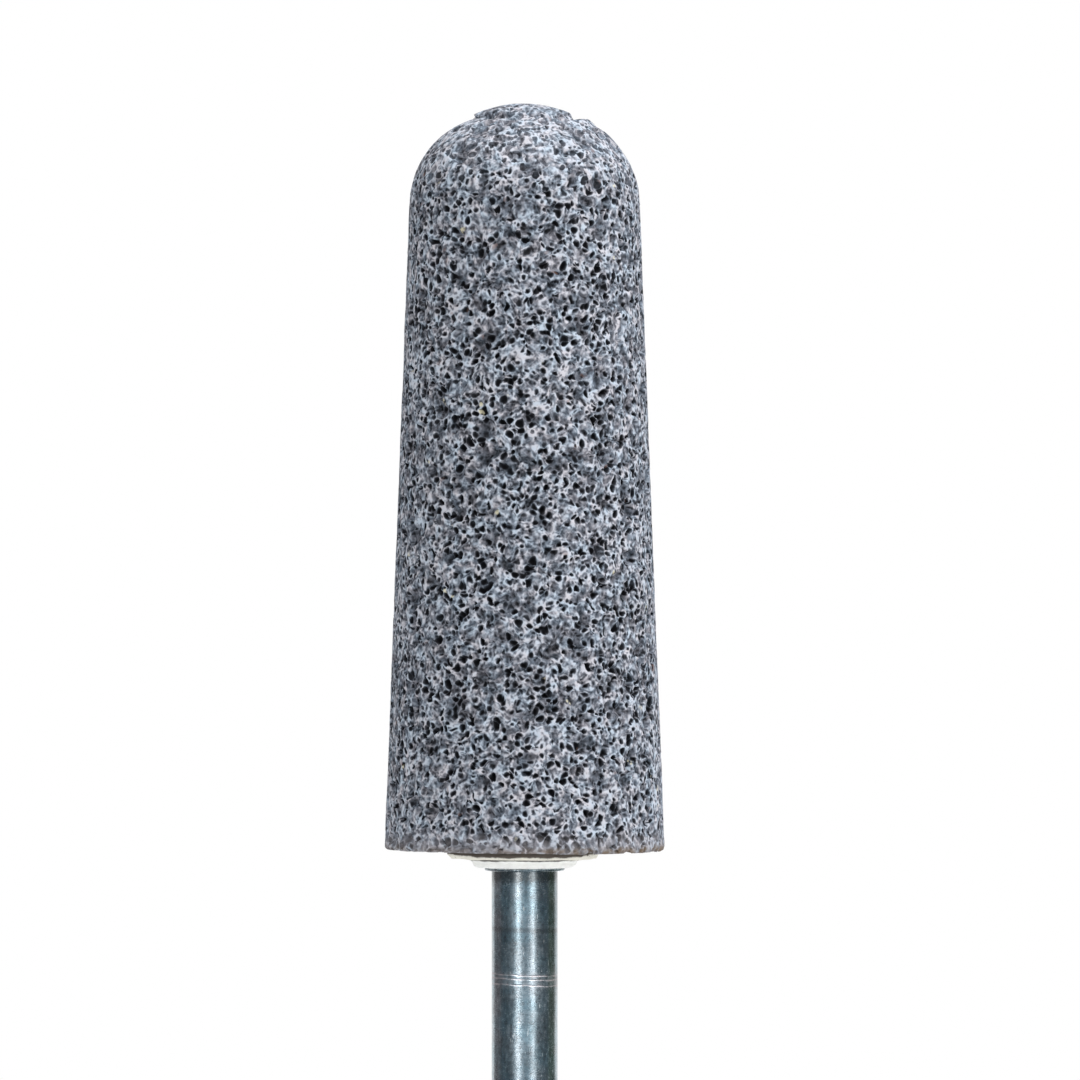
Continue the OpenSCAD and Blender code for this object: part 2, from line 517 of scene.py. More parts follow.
def worn_edges(skin, back, tip):
    """Extra wear in mm: a chipped lower rim, a ragged crown edge, and one trough at the crown's foot.

    The rim's burr and the full shoulder beside the trough count as less than nothing."""
    x, y, z = skin.T
    r = np.hypot(x, y)
    rim = bell(z, back, 0.45) * rising(r, RIM_R, 0.5)
    chips = 0.35 * np.clip(lattice_noise(skin / 1.1 + 7.7) - 0.35, 0.0, 1.0)
    burr = 0.14 * rising(x, 0.0, 6.0) * bell(z, back, 0.09)
    crown = bell(r, CROWN_R, 0.35) * bell(z - tip, -1.1, 0.6)
    crumbs = 0.26 * np.clip(lattice_noise(skin / 0.7 + 21.4) + 0.25, 0.0, 1.0)
    right = bell(np.arctan2(y, x), 0.0, 0.62) * (z > tip - 5.0) * (z < tip - 0.9)
    trough = 0.28 * bell(r, TROUGH_R, 0.26)
    full = 0.34 * bell(r, 5.7, 0.55) + 0.17 * bell(r, 7.2, 1.2)
    return rim * (chips - burr) + crown * crumbs + right * (trough - full)


def stone_piece(s):
    """Stone with its pores sunk into the lathe surface along the normals, then thinned."""
    step = s.skin_step / MM * 1.0
    back, tip, crown_r = mm(s.back_z, s.tip_z, s.crown_d / 2)
    profile, is_skin, socket_tip = stone_profile(s, step)
    columns = int(math.pi * s.diameter / MM / step)
    theta = angles(columns)
    skin = carried_round(profile, theta).reshape(-1, 3)
    normal = carried_round(outward(profile), theta).reshape(-1, 3)
    open_skin = np.repeat(is_skin, columns)
    p, n = skin[open_skin], normal[open_skin]
    grain = grain_space(p)
    pores = [layer.sunk * pore_depth(n, grain, layer) for layer in LAYERS if layer.sunk]
    depth = np.minimum(np.max(pores, axis=0), DEEPEST) + waves(p, SWELL) + worn_edges(p, back, tip)
    sunk = skin.copy()
    sunk[open_skin] -= n * depth[:, None]
    on_crown = np.hypot(skin[:, 0], skin[:, 1]) < crown_r + 0.05
    sunk[:, 0] -= CROWN_SHIFT * rising(skin[:, 2] - tip, -1.5, 0.5) * on_crown
    grid = sunk.reshape(len(profile), columns, 3)
    piece = lathe_piece("abrasive_stone_skin", grid, socket_tip, tip - TIP_SINK)
    thin(piece, s.triangles // (1))
    store_grain(piece, profile[is_skin])
    return piece


def thin(piece, triangles):
    """Collapses edges until the piece has at most that many triangles."""
    now = len(piece.data.loops) - 2 * len(piece.data.polygons)
    if now <= triangles:
        return
    collapse = piece.modifiers.new("thin", "DECIMATE")
    collapse.ratio = triangles / now
    ready = piece.evaluated_get(bpy.context.evaluated_depsgraph_get())
    old, piece.data = piece.data, bpy.data.meshes.new_from_object(ready)
    piece.modifiers.clear()
    bpy.data.meshes.remove(old)


def store_grain(piece, profile):
    """Keeps on each vertex the moved skin point above it, by which the material finds the pores.

    The skin point is the nearest point of the profile at the vertex's own angle."""
    count = len(piece.data.vertices)
    co = np.empty(count * 3, np.float32)
    piece.data.vertices.foreach_get("co", co)
    p = co.reshape(-1, 3).astype(float) / MM
    r = np.hypot(p[:, 0], p[:, 1])
    rz = np.stack([r, p[:, 2]], axis=1)
    line = profile.astype(np.float32)
    nearest = np.concatenate([
        ((part[:, None, :].astype(np.float32) - line[None]) ** 2).sum(axis=2).argmin(axis=1)
        for part in np.array_split(rz, max(1, count // BATCH))
    ])
    normal = outward(profile)[nearest]
    gap = np.einsum("ij,ij->i", rz - profile[nearest], normal)
    on_skin = rz - gap[:, None] * normal
    turn = np.where(r > TINY, on_skin[:, 0] / np.maximum(r, TINY), 0.0)
    skin = np.stack([p[:, 0] * turn, p[:, 1] * turn, on_skin[:, 1]], axis=1)
    keep = piece.data.attributes.new("grain", "FLOAT_VECTOR", "POINT")
    keep.data.foreach_set("vector", grain_space(skin).astype(np.float32).ravel())


# Washer, cement and shank

# Columns round the axis, and in mm the radius where a piece closes and the spacing on the tang
WASHER_COLUMNS, COLUMNS = 360, 256
POLE, TANG_STEP = 0.5, 0.35
# Waves of the washer's rim and underside and of the cement, as (amount, size, shift) in mm
FRAY = ((0.16, 2.4, 0.0), (0.05, 0.5, 5.0))
SAG = ((0.09, 1.6, 2.0),)
LUMPS = ((0.09, 1.5, 14.0), (0.03, 0.4, 4.0))
# Width of the washer's frayed edge, and drop of a fainter ring below the upper one, in mm
FRAYED, FAINT_RING = 0.9, 0.36
# Slope and wave of the scored rings, how far both are felt, and rise of a dark band above them, in mm
RING_TILT, RING_WAVE, RING_REACH, BAND_RISE = 0.036, 0.07, 2.5, 4.1


def washer_piece(c, s):
    """Flat ring with a chamfered lower edge, its outer edge frayed by lattice noise."""
    bore, back, out, under, chamfer = mm(s.bore_r, s.back_z, c.washer_r, c.washer_z, c.washer_chamfer)
    profile = path([(bore, under), (out - chamfer, under), (out, under + chamfer), (out, back),
                    (bore, back), (bore, under)], [0.24, 0.12, 0.12, 0.6, 0.3])
    points = carried_round(profile, angles(WASHER_COLUMNS)).reshape(-1, 3)
    r = np.hypot(points[:, 0], points[:, 1])
    lean = 0.10 * (1.0 + points[:, 0] / np.maximum(r, TINY))
    edge = rising(r - out, -FRAYED, FRAYED)
    points[:, :2] *= (1.0 - edge * (waves(points, FRAY) + lean) / np.maximum(r, TINY))[:, None]
    below = rising(r, c.button_r / MM, 0.6) * rising(back - 0.2 - points[:, 2], 0.0, 0.3)
    points[:, 2] += below * waves(points, SAG)
    return lathe_piece("backing_washer_fibre", points.reshape(len(profile), -1, 3))


def tang_profile(k, back):
    """Grooved side of the cemented tang, from its lowest groove up to the chamfer at its end."""
    tang, top, chamfer, embed = mm(k.tang_r, k.top_z, k.chamfer, k.embed)
    radius, depth = mm(k.key_r, k.key_depth)
    pitch = embed / (k.key_count + 1)
    half = math.sqrt(radius ** 2 - (radius - depth) ** 2)
    rows = []
    for i in range(k.key_count):
        centre = back + pitch * (i + 1)
        rows.append(chord(tang, radius, depth, centre, TANG_STEP))
        rows.append(run((tang, centre + half), (tang, centre + half + 0.2), 0.2))
    rows.append(run((tang, top - chamfer), (tang - chamfer, top), 0.2))
    return np.concatenate(rows)


def cement_piece(c, k, s):
    """Cement round the tang, down the washer's bore and out into the slightly lumpy button."""
    back, bore, socket = mm(s.back_z, s.bore_r, s.socket_z)
    washer, button, radius, edge_r = mm(c.washer_z, c.button_z, c.button_r, c.button_edge_r)
    tang, chamfer, top = mm(k.tang_r, k.chamfer, k.top_z)
    slope = math.tan(s.socket_angle)
    socket_tip = socket + bore * slope
    tang_end = (tang - chamfer, top)
    profile = np.concatenate([
        run((POLE, top), tang_end, 0.6),
        np.concatenate([tang_profile(k, back), [tang_end]])[::-1][:-1],
        path([(tang, back + 1.0), (tang, button), (radius - edge_r, button)], [0.5, 0.1]),
        arc((radius - edge_r, button + edge_r), edge_r, -90.0, 0.0, 0.06),
        path([(radius, button + edge_r), (radius, washer), (bore, washer), (bore, socket),
              (POLE, socket_tip - POLE * slope)], [0.05, 0.25, 1.5, 0.8]),
    ])
    points = carried_round(profile, angles(COLUMNS)).reshape(-1, 3)
    r = np.hypot(points[:, 0], points[:, 1])
    shown = rising(r, k.flange_r / MM, 0.3) * rising(washer + 0.01 - points[:, 2], 0.0, 0.02)
    flare = 0.34 * bell(washer - points[:, 2], 0.0, 0.16)
    points[:, :2] *= (1.0 + shown * (flare - waves(points, LUMPS)) / np.maximum(r, TINY))[:, None]
    return lathe_piece("cement_bond_cast", points.reshape(len(profile), -1, 3), top, socket_tip)


def shank_piece(c, k, s):
    """Turned pin: chamfered end, plain side with scored rings, half-round flange and grooved tang."""
    radius, chamfer, tang, top, back = mm(k.radius, k.chamfer, k.tang_r, k.top_z, s.back_z)
    button, flange_t, flange_r = mm(c.button_z, k.flange_t, k.flange_r)
    ring_r, ring_depth, distance, pitch = mm(k.ring_r, k.ring_depth, k.ring_distance, k.ring_pitch)
    flange_z, rim_r = button - flange_t, flange_t / 2
    half = math.sqrt(ring_r ** 2 - (ring_r - ring_depth) ** 2)
    upper = back - distance
    ring_z = [upper - pitch, upper - FAINT_RING, upper]
    plain = [chamfer, *ring_z, flange_z]
    side = [firm((POLE, 0.0), (radius - chamfer, 0.0), 0.5),
            firm((radius - chamfer, 0.0), (radius, chamfer), 0.1)]
    for low, high in zip(plain[:-1], plain[1:]):
        first = low + (half if low in ring_z else 0.0)
        last = high - (half if high in ring_z else 0.0)
        side.append(firm((radius, first), (radius, last), 0.4))
        if high in ring_z:
            side.append(chord(radius, ring_r, ring_depth, high, 0.03))
    profile = np.concatenate([
        *side,
        firm((radius, flange_z), (flange_r - rim_r, flange_z), 0.1),
        arc((flange_r - rim_r, flange_z + rim_r), rim_r, -90.0, 90.0, 0.04),
        path([(flange_r - rim_r, button), (tang, button), (tang, back + 2.0)], [0.2, 0.6]),
        tang_profile(k, back),
        run((tang - chamfer, top), (POLE, top), 0.6),
    ])
    points = carried_round(profile, angles(COLUMNS))
    near = bell(points[..., 2], (ring_z[0] + ring_z[-1]) / 2, RING_REACH)
    wave = lattice_noise(points.reshape(-1, 3) * 0.9).reshape(near.shape)
    points[..., 2] -= near * (RING_TILT * points[..., 0] + RING_WAVE * wave)
    piece = lathe_piece("shank_steel", points, 0.0, top)
    gap = np.abs(profile[:, 1:] - np.array(ring_z)).min(axis=1)
    lines = bell(gap, 0.0, 0.075) * (profile[:, 0] > radius - 0.1)
    keep = piece.data.attributes.new("score", "FLOAT", "POINT")
    keep.data.foreach_set("value", np.append(np.repeat(lines, COLUMNS), [0.0, 0.0]).astype(np.float32))
    return piece


# Materials

# Stained grains of the stone: colour number that picks them, from what value, strength and stain
STAINS = (
    (0, 0.982, 0.75, (0.60, 0.56, 0.40)),
    (1, 0.975, 0.45, (0.17, 0.095, 0.075)),
)
COOL, WARM, RUBBED = (0.91, 0.99, 1.04), (1.08, 0.99, 0.96), (0.30, 0.29, 0.31)
WORN_FIBRE, FIBRE_SPECK = (0.80, 0.79, 0.73), (0.14, 0.12, 0.10)
# The second cement colour is painted shadow just under the washer.
GREY_CEMENT, WASHER_SHADOW = (0.64, 0.65, 0.64), (0.05, 0.045, 0.04)
TEMPERED, DRAWN = (0.86, 0.97, 1.00), (0.72, 0.72, 0.72)
# The second steel colour darkens the shank just below the flange.
STEEL_SPOT, STEEL_UNDER_FLANGE = (0.20, 0.19, 0.19), (0.15, 0.145, 0.14)
SCORED, SCRATCHED = (0.70, 0.57, 0.57), (0.86, 0.85, 0.83)


class Finish:
    """The nodes of a new material or world, with short ways to add and link them."""

    def __init__(self, owner):
        owner.use_nodes = True
        self.owner = owner
        self.tree = owner.node_tree
        self.tree.nodes.clear()

    def node(self, kind, inputs=(), **settings):
        """Adds a node, sets its settings, and links or sets its inputs by name or number."""
        node = self.tree.nodes.new("ShaderNode" + kind)
        for key, value in settings.items():
            setattr(node, key, value)
        for key, value in dict(inputs).items():
            if isinstance(value, bpy.types.NodeSocket):
                self.tree.links.new(value, node.inputs[key])
            else:
                node.inputs[key].default_value = value
        return node

    def math(self, operation, a, b=0.0, c=0.0):
        """One arithmetic step on numbers or sockets."""
        return self.node("Math", {0: a, 1: b, 2: c}, operation=operation).outputs[0]

    def chain(self, operation, values):
        """The same arithmetic step through all the values."""
        total, *rest = values
        for value in rest:
            total = self.math(operation, total, value)
        return total

    def around(self, value, amount, base):
        """Base, plus amount times what the value is above one half."""
        return self.math("MULTIPLY_ADD", self.math("SUBTRACT", value, 0.5), amount, base)

    def vector(self, operation, a, b=(0.0, 0.0, 0.0), c=(0.0, 0.0, 0.0)):
        """One vector step on vectors or sockets."""
        return self.node("VectorMath", {0: a, 1: b, 2: c}, operation=operation).outputs[0]

    def map(self, value, low, high, to_low=0.0, to_high=1.0, smooth=False):
        """Value stretched from one range to another and held at its ends."""
        inputs = {"Value": value, "From Min": low, "From Max": high, "To Min": to_low, "To Max": to_high}
        kind = "SMOOTHSTEP" if smooth else "LINEAR"
        return self.node("MapRange", inputs, interpolation_type=kind).outputs["Result"]

    def mix(self, factor, a, b, blend="MIX"):
        """Blend of two colours, or of sockets that give them."""
        a, b = (v if isinstance(v, bpy.types.NodeSocket) else (*v, 1.0) for v in (a, b))
        node = self.node("Mix", {0: factor, 6: a, 7: b}, data_type="RGBA", blend_type=blend)
        return node.outputs[2]

    def tinted(self, colour, mask, share, other):
        """Colour turned towards another one by a share of the mask."""
        return self.mix(self.math("MULTIPLY", mask, share), colour, other)

    def ramp(self, value, stops):
        """Colours along a value: stops are (place, colour) pairs in rising order."""
        node = self.node("ValToRGB", {0: value})
        ends = node.color_ramp.elements
        while len(ends) < len(stops):
            ends.new(0.5)
        for element, (place, colour) in zip(ends, stops):
            element.position = place
            element.color = (*colour, 1.0)
        return node.outputs["Color"]

    def fall(self, value, stops):
        """Grey level along a value: stops are (value, level) pairs in rising order."""
        low, high = stops[0][0], stops[-1][0]
        pairs = [((place - low) / (high - low), (grey,) * 3) for place, grey in stops]
        return self.ramp(self.map(value, low, high), pairs)

    def noise(self, where, scale, detail=2.0, rough=0.5):
        """Smooth noise from 0 to 1."""
        inputs = {"Vector": where, "Scale": scale, "Detail": detail, "Roughness": rough}
        return self.node("TexNoise", inputs).outputs["Fac"]

    def streaks(self, where, scales, detail, rough):
        """Smooth noise from 0 to 1 with a scale of its own along each axis."""
        return self.noise(self.vector("MULTIPLY", where, scales), 1.0, detail, rough)

    def cells(self, where, size, shift, feature="F1"):
        """Outputs of a Voronoi node, for cells of that size in mm and that shift."""
        place = self.vector("MULTIPLY_ADD", where, (1.0 / size,) * 3, (shift,) * 3)
        inputs = {"Vector": place, "Scale": 1.0, "Detail": 0.0}
        return self.node("TexVoronoi", inputs, feature=feature).outputs

    def split(self, colour):
        """The three numbers of a colour."""
        return self.node("SeparateColor", {0: colour}).outputs

    def seen(self):
        """1 for camera, glossy and transmission rays, and 0 for the rest."""
        rays = self.node("LightPath").outputs
        kinds = ("Camera", "Glossy", "Transmission")
        return self.chain("MAXIMUM", [rays[f"Is {kind} Ray"] for kind in kinds])

    def glow(self, colour):
        """Shader that shines in one colour."""
        return self.node("Emission", {"Color": (*colour, 1.0), "Strength": 1.0})

    def surface(self, colour, rough, height, strength, distance, gloss=0.5, metal=0.0):
        """Principled shader on the output, with a bump of that strength and distance in mm."""
        bump = self.node("Bump", {"Height": height, "Strength": strength, "Distance": distance * MM})
        inputs = {"Base Color": colour, "Roughness": rough, "Normal": bump.outputs["Normal"],
                  "Specular IOR Level": gloss, "Metallic": metal}
        return self.end(self.node("BsdfPrincipled", inputs))

    def end(self, shader):
        """Links a shader to the output, and gives back the material or world."""
        self.node("Output" + type(self.owner).__name__, {"Surface": shader.outputs[0]})
        return self.owner


def new_finish(name):
    """Finish of a new material, its points in mm, and their x, y and z."""
    f = Finish(bpy.data.materials.new(name))
    where = f.vector("MULTIPLY", f.node("TexCoord").outputs["Object"], (1.0 / MM,) * 3)
    return f, where, f.node("SeparateXYZ", {0: where}).outputs


def pore_edge(f, grain, layer):
    """Distance in mm from a layer's nearest pore edge, less than nothing inside the pore."""
    cells = f.cells(grain, layer.cell, layer.shift)
    colour = f.split(cells["Color"])
    radius = f.math("MULTIPLY_ADD", colour[1], layer.high - layer.low, layer.low)
    shut = f.math("GREATER_THAN", colour[0], layer.share)
    gap = f.math("SUBTRACT", cells["Distance"], radius)
    return f.math("MULTIPLY", f.math("ADD", gap, shut), layer.cell)


def stone_tone(f, s, grain, where, up, small, web):
    """Brightness of the stone: pores darkened as painted shade, pale rims that are partly painted
    highlight, web, soft clouds, a paler lower end, and a nose painted lighter as painted top light.
    """
    back, tip = mm(s.back_z, s.tip_z)
    edges = [pore_edge(f, grain, layer) for layer in LAYERS]
    # Painted shade: each layer's dark stops darken the colour into its pores.
    painted_pore_shade = f.chain("MULTIPLY", [f.fall(edge, layer.dark) for edge, layer in zip(edges, LAYERS)])
    # Pale rims round the pores: pale bond, with painted highlight on the pore edges.
    rims = f.chain("ADD", [f.fall(edge, layer.pale) for edge, layer in zip(edges, LAYERS) if layer.pale])
    lift = f.math("ADD", f.around(web, 0.42, 0.49), rims)
    lift = f.around(small, 1.35, lift)
    lift = f.around(f.noise(where, 0.28, 3.0, 0.6), 0.60, lift)
    lift = f.math("ADD", lift, f.map(up, back, back + 14.0, 0.07, 0.0, True))
    # Towards the tip the tone is lifted and the painted pore shade eased: a smoother crown, and painted
    # top light.
    nose = f.map(up, tip - 15.0, tip - 1.5, smooth=True)
    painted_pore_shade = f.math("MAXIMUM", painted_pore_shade, f.map(nose, 0.4, 1.0, 0.0, 0.58))
    return f.math("MULTIPLY_ADD", painted_pore_shade, lift, f.math("MULTIPLY", nose, 0.09))


def stone_finish(s):
    """Grey fired grain: pale web, pores darkened as painted shade, a few stained grains, a rubbed end and
    a scorched rim.
    """
    f, where, place = new_finish("grey_stone")
    back = s.back_z / MM
    grain = f.node("Attribute", attribute_name="grain").outputs["Vector"]
    small = f.noise(where, 2.4, 1.0, 0.6)
    web = f.map(f.cells(grain, 0.42, 41.0, "SMOOTH_F1")["Distance"], 0.05, 0.60, smooth=True)
    # The ramp's lowest stops are painted shade: the colour in the pores falls to near black.
    colour = f.ramp(stone_tone(f, s, grain, where, place[2], small, web), [
        (0.0, s.hollow),
        (0.25, tuple(v * 0.28 for v in s.grit)),
        (0.52, s.grit),
        (0.78, tuple(0.45 * a + 0.55 * b for a, b in zip(s.bond, s.grit))),
        (1.0, s.bond),
    ])
    hue = f.map(f.noise(grain, 1.0, 2.0, 0.6), 0.35, 0.65)
    colour = f.mix(1.0, colour, f.mix(hue, COOL, WARM), "MULTIPLY")
    marking = f.cells(grain, 0.80, 17.0)
    kind = f.split(marking["Color"])
    spot = f.math("MULTIPLY", f.map(marking["Distance"], 0.22, 0.36, 1.0, 0.0), f.map(small, 0.42, 0.56))
    for number, rare, share, other in STAINS:
        mask = f.math("MULTIPLY", f.math("GREATER_THAN", kind[number], rare), spot)
        colour = f.tinted(colour, mask, share, other)
    rub = f.math("MULTIPLY", f.map(place[2], back + 0.3, back + 2.2, 1.0, 0.0, True),
                 f.map(f.noise(where, 1.4, 3.0, 0.6), 0.38, 0.62, 0.20, 0.58))
    colour = f.mix(rub, colour, RUBBED)
    scorch = f.chain("MULTIPLY", [
        f.map(place[2], back + 0.15, back + 0.75, 1.0, 0.0, True),
        f.map(place[0], -8.0, 9.0, 0.45, 1.0, True),
        f.map(f.noise(where, 0.9, 2.0), 0.35, 0.6),
    ])
    colour = f.tinted(colour, scorch, 0.85, s.scorch)
    height = f.math("MULTIPLY_ADD", web, 1.2, f.noise(grain, 6.0, 1.0))
    rough = f.map(f.split(f.cells(grain, 0.24, 9.0)["Color"])[2], 0.0, 1.0, 0.55, 0.85)
    return f.surface(colour, rough, height, 0.30, 0.07, gloss=0.04)


def washer_finish(c, s):
    """Cream pressed fibre, browned at the upper edge by a resinous soak and by painted shadow under the
    stone, with fine flecks.
    """
    f, where, place = new_finish("cream_fibre")
    top = s.back_z / MM
    up = f.around(f.noise(where, 0.8, 3.0, 0.6), 0.5, place[2])
    # Painted shadow: a near-black brown band under the stone's rim, reaching lowest in the middle, on a
    # resinous brown edge.
    lower = f.map(f.math("ABSOLUTE", place[0]), 3.2, 7.0, 0.64, 0.44, True)
    soaked_and_shaded = f.map(f.math("ADD", up, lower), top, top + 0.16, smooth=True)
    fleck = f.map(f.noise(where, 3.5, 3.0, 0.7), 0.35, 0.7)
    specks = f.map(f.noise(where, 6.0, 1.0), 0.68, 0.74)
    colour = f.tinted(c.fibre, fleck, 0.55, WORN_FIBRE)
    colour = f.tinted(colour, soaked_and_shaded, 0.92, c.resin)
    colour = f.tinted(colour, specks, 0.6, FIBRE_SPECK)
    height = f.noise(where, 5.0, 4.0, 0.65)
    rough = f.map(fleck, 0.0, 1.0, 0.75, 0.92)
    return f.surface(colour, rough, height, 0.5, 0.08, gloss=0.12)


def cement_finish(c):
    """White cast cement with grey patches, fine grain, and a painted shadow line just under the washer.
    """
    f, where, place = new_finish("white_cement")
    washer = c.washer_z / MM
    up = f.around(f.noise(where, 0.9, 2.0), 0.35, place[2])
    # Painted shadow: a dark line just under the washer's edge.
    washer_shadow = f.map(up, washer - 0.17, washer - 0.03, smooth=True)
    patch = f.map(f.noise(where, 0.9, 3.0, 0.6), 0.35, 0.7)
    colour = f.tinted(c.cement, patch, 0.5, GREY_CEMENT)
    colour = f.tinted(colour, washer_shadow, 0.9, WASHER_SHADOW)
    height = f.noise(where, 6.0, 3.0, 0.6)
    rough = f.map(patch, 0.0, 1.0, 0.5, 0.75)
    return f.surface(colour, rough, height, 0.3, 0.05, gloss=0.4)


def shank_finish(c, k, s):
    """Bright drawn steel: fine marks, a mottled film, scored rings, and an upper end that is darker just
    below the flange.
    """
    f, where, place = new_finish("bright_steel")
    turning = f.streaks(where, (0.5, 0.5, 9.0), 3.0, 0.65)
    drawing = f.streaks(where, (4.5, 4.5, 0.55), 3.0, 0.6)
    spots = f.streaks(where, (3.0, 3.0, 2.2), 3.0, 0.7)
    broken = f.streaks(where, (1.8, 1.8, 3.0), 3.0, 0.7)
    cloud = f.streaks(where, (0.55, 0.55, 0.26), 2.0, 0.6)
    mottle = f.noise(where, 2.4, 3.0, 0.65)
    slant = f.node("Mapping", {"Vector": where, "Rotation": (0.0, math.radians(28.0), 0.0),
                               "Scale": (5.0, 1.2, 0.7)}).outputs[0]
    scratch = f.map(f.noise(slant, 1.0, 2.0, 0.6), 0.69, 0.73)
    score = f.node("Attribute", attribute_name="score").outputs["Fac"]
    score = f.math("MULTIPLY", score, f.map(broken, 0.36, 0.60, 0.25, 1.0))
    band = f.math("SUBTRACT", place[2], (s.back_z - k.ring_distance) / MM + BAND_RISE)
    band = f.math("ABSOLUTE", f.math("MULTIPLY_ADD", place[0], RING_TILT, band))
    band = f.map(band, 0.05, 0.40, 0.5, 0.0, True)
    flange = (c.button_z - k.flange_t) / MM
    # Darker just below the flange, fading out on the flange itself.
    marking = f.map(f.around(mottle, 1.6, place[2]), flange - 1.5, flange - 0.6, 0.0, 0.75, True)
    marking = f.math("MULTIPLY", marking, f.map(place[2], flange - 0.08, flange + 0.04, 1.0, 0.35, True))
    tempered = f.map(f.noise(where, 0.55, 2.0), 0.38, 0.62)
    colour = f.mix(tempered, k.steel, tuple(v * w for v, w in zip(k.steel, TEMPERED)))
    colour = f.mix(f.map(drawing, 0.35, 0.65), colour, f.mix(1.0, colour, DRAWN, "MULTIPLY"))
    colour = f.mix(1.0, colour, f.map(cloud, 0.36, 0.62, 0.66, 1.0), "MULTIPLY")
    colour = f.mix(f.math("MAXIMUM", f.map(spots, 0.52, 0.68, 0.0, 0.62), band), colour, STEEL_SPOT)
    colour = f.mix(marking, colour, STEEL_UNDER_FLANGE)
    colour = f.tinted(colour, score, 0.75, SCORED)
    colour = f.tinted(colour, scratch, 0.6, SCRATCHED)
    metal = f.math("SUBTRACT", f.map(spots, 0.32, 0.46, 0.90, 1.0), f.math("MULTIPLY", score, 0.22))
    rough = f.math("ADD", f.map(turning, 0.3, 0.7, 0.235, 0.285), f.map(mottle, 0.3, 0.7, -0.03, 0.05))
    rough = f.math("MULTIPLY_ADD", f.math("MAXIMUM", score, scratch), 0.25, rough)
    height = f.math("MULTIPLY_ADD", turning, 0.6, f.math("MULTIPLY", scratch, -0.5))
    height = f.math("MULTIPLY_ADD", mottle, 0.16, height)
    return f.surface(colour, rough, height, 0.22, 0.02, metal=metal)


# Stage

# Floor: radius, and distances from the axis between which it fades to white, in mm
FLOOR_R = 2200.0
FADE_START, FADE_END = 120.0, 290.0
# Cards: their bent line in the (radius, height) plane, in mm, and colours of the far ones
CARD_LINE = ((12.0, 1.0), (1300.0, 1.0), (1300.0, 1600.0))
FAR_LEFT_CARD, FAR_RIGHT_CARD = (0.19, 0.18, 0.19), (0.095, 0.12, 0.095)
# Distance of every lamp from what it aims at, and the height that the strips aim at, in metres
LAMP_DISTANCE, STRIP_AIM = 0.9, 0.03
# Width of the camera's sensor, in mm
SENSOR = 36.0


def floor_piece():
    """Flat disc: rings of growing radius round the axis."""
    rings = FLOOR_R * np.linspace(0.02, 1.0, 24) ** 1.5
    grid = carried_round(np.stack([rings, np.zeros(len(rings))], axis=1), angles(96))[::-1]
    rows, columns = grid.shape[:2]
    points = np.concatenate([grid.reshape(-1, 3), [[0.0, 0.0, 0.0]]])
    triangles = pole_faces((rows - 1) * columns, columns, rows * columns, True)
    return put_mesh("studio_floor", points, lathe_faces(rows, columns, False), triangles)


def floor_finish(stage):
    """Pale matt floor that fades to the white background further out."""
    f, where, _ = new_finish("studio_floor")
    far = f.node("VectorMath", {0: where}, operation="LENGTH").outputs["Value"]
    white = f.math("MULTIPLY", f.map(far, FADE_START, FADE_END, smooth=True), f.seen())
    matt = f.node("BsdfDiffuse", {"Color": (*stage.floor, 1.0)})
    glow = f.glow(WHITE)
    return f.end(f.node("MixShader", {0: white, 1: matt.outputs[0], 2: glow.outputs[0]}))


def dark_card(name, start, end, colour):
    """Card seen only in reflections: the bent line carried round the axis from one azimuth to another."""
    a = np.radians(np.linspace(start, end, 32) - 90.0)
    grid = carried_round(np.array(CARD_LINE), a)
    rows, columns = grid.shape[:2]
    quads = lathe_faces(rows, columns, False).reshape(rows - 1, columns, 4)[:, :-1].reshape(-1, 4)
    card = put_mesh(name, grid.reshape(-1, 3), quads, np.zeros((0, 3), int))
    f = Finish(bpy.data.materials.new(name))
    card.data.materials.append(f.end(f.glow(colour)))
    for ray in ("camera", "diffuse", "shadow", "transmission"):
        setattr(card, f"visible_{ray}", False)


def soft_box(name, azimuth, elevation, size, power, aim_z, gloss_only=False):
    """Rectangular lamp, at an azimuth to the right of the camera, turned to a height on the axis.

    A gloss-only lamp shows in reflections and gives no diffuse light."""
    lamp = bpy.data.lights.new(name, "AREA")
    lamp.shape = "RECTANGLE"
    lamp.size, lamp.size_y = size
    lamp.energy = power
    box = bpy.data.objects.new(name, lamp)
    a, e = math.radians(azimuth), math.radians(elevation)
    way = np.array([math.sin(a) * math.cos(e), -math.cos(a) * math.cos(e), math.sin(e)])
    aim = np.array([0.0, 0.0, aim_z])
    spot = way * LAMP_DISTANCE + aim
    box.location = spot
    box.rotation_euler = Vector(aim - spot).to_track_quat("-Z", "Y").to_euler()
    box.visible_diffuse = not gloss_only
    bpy.context.scene.collection.objects.link(box)


def white_world(strength):
    """World that is white where it is seen, and an even grey light elsewhere."""
    world = bpy.data.worlds.new("studio")
    f = Finish(world)
    light = f.map(f.seen(), 0.0, 1.0, strength, 1.0)
    f.end(f.node("Background", {"Color": (*WHITE, 1.0), "Strength": light}))
    # Only bounced rays find the world, so that the cards hide it from the steel
    world.cycles.sampling_method = "NONE"
    bpy.context.scene.world = world


def photo_camera(scene, stage):
    """Level camera on the photo's side, a little to the right of the axis."""
    lens = bpy.data.cameras.new("photo_camera")
    lens.lens, lens.sensor_width, lens.sensor_fit = stage.focal, SENSOR, "HORIZONTAL"
    lens.clip_start, lens.clip_end = 0.01, 20.0
    camera = bpy.data.objects.new("photo_camera", lens)
    camera.location = (stage.offset, -stage.distance, stage.height)
    camera.rotation_euler = (math.radians(90.0), 0.0, 0.0)
    scene.collection.objects.link(camera)
    scene.camera = camera


# Operators

